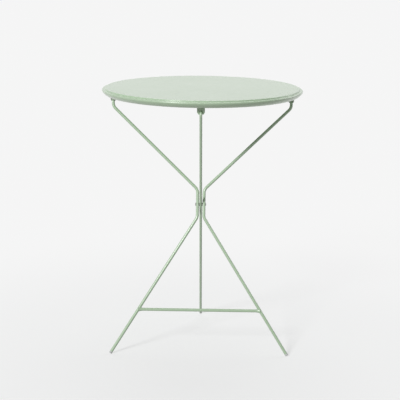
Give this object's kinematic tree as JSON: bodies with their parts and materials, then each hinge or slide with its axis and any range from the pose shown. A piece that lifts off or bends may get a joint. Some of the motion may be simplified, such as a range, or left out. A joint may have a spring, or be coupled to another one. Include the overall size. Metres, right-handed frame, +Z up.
{
  "type": "folding bistro table",
  "caption": "Round folding bistro table of painted steel: rolled-rim sheet top on thin bent rod legs crossed at a bolted waist, with a low crossbar and plastic foot tips.",
  "frame": {"origin": "on the floor, below the middle of the round top", "axes": "+Z up, +X to the right as seen from the front, -Y towards the front with the catch and two of the feet"},
  "size_m": [0.6, 0.6, 0.76],
  "materials": {
    "sage_paint": "smooth semi-gloss powder coat in pale sage green",
    "dark_zinc": "dull zinc plate, grey and satin",
    "glide_plastic": "matte moulded plastic in mid grey"
  },
  "bodies": {
    "side_frame": {"left_leg": "sage_paint", "right_leg": "sage_paint", "crossbar": "sage_paint", "waist_bolt": "dark_zinc", "waist_nut": "dark_zinc", "left_waist_spacer": "dark_zinc", "right_waist_spacer": "dark_zinc", "left_waist_washer": "dark_zinc", "right_waist_washer": "dark_zinc", "left_foot_glide": "glide_plastic", "right_foot_glide": "glide_plastic"},
    "top": {"tabletop": "sage_paint", "front_catch": "sage_paint", "left_hinge_bracket": "sage_paint", "right_hinge_bracket": "sage_paint", "left_hinge_bolt": "dark_zinc", "right_hinge_bolt": "dark_zinc", "left_hinge_nut": "dark_zinc", "right_hinge_nut": "dark_zinc", "left_hinge_outer_washer": "dark_zinc", "left_hinge_inner_washer": "dark_zinc", "right_hinge_outer_washer": "dark_zinc", "right_hinge_inner_washer": "dark_zinc"},
    "rear_support": {"centre_leg": "sage_paint", "rear_foot_glide": "glide_plastic"}
  },
  "joints": [
    {"name": "top_tilt", "type": "hinge", "parent": "side_frame", "child": "top", "pos_m": [0, 0, 0.722], "axis": [-1, 0, 0], "range_deg": [0, 107.7]},
    {"name": "centre_leg_fold", "type": "hinge", "parent": "side_frame", "child": "rear_support", "pos_m": [0, -0.09773, 0.423], "axis": [-1, 0, 0], "range_deg": [0, 47.2]}
  ],
  "couplings": [
    {"joint": "centre_leg_fold", "follows": "top_tilt", "ratio": 0.4382}
  ]
}
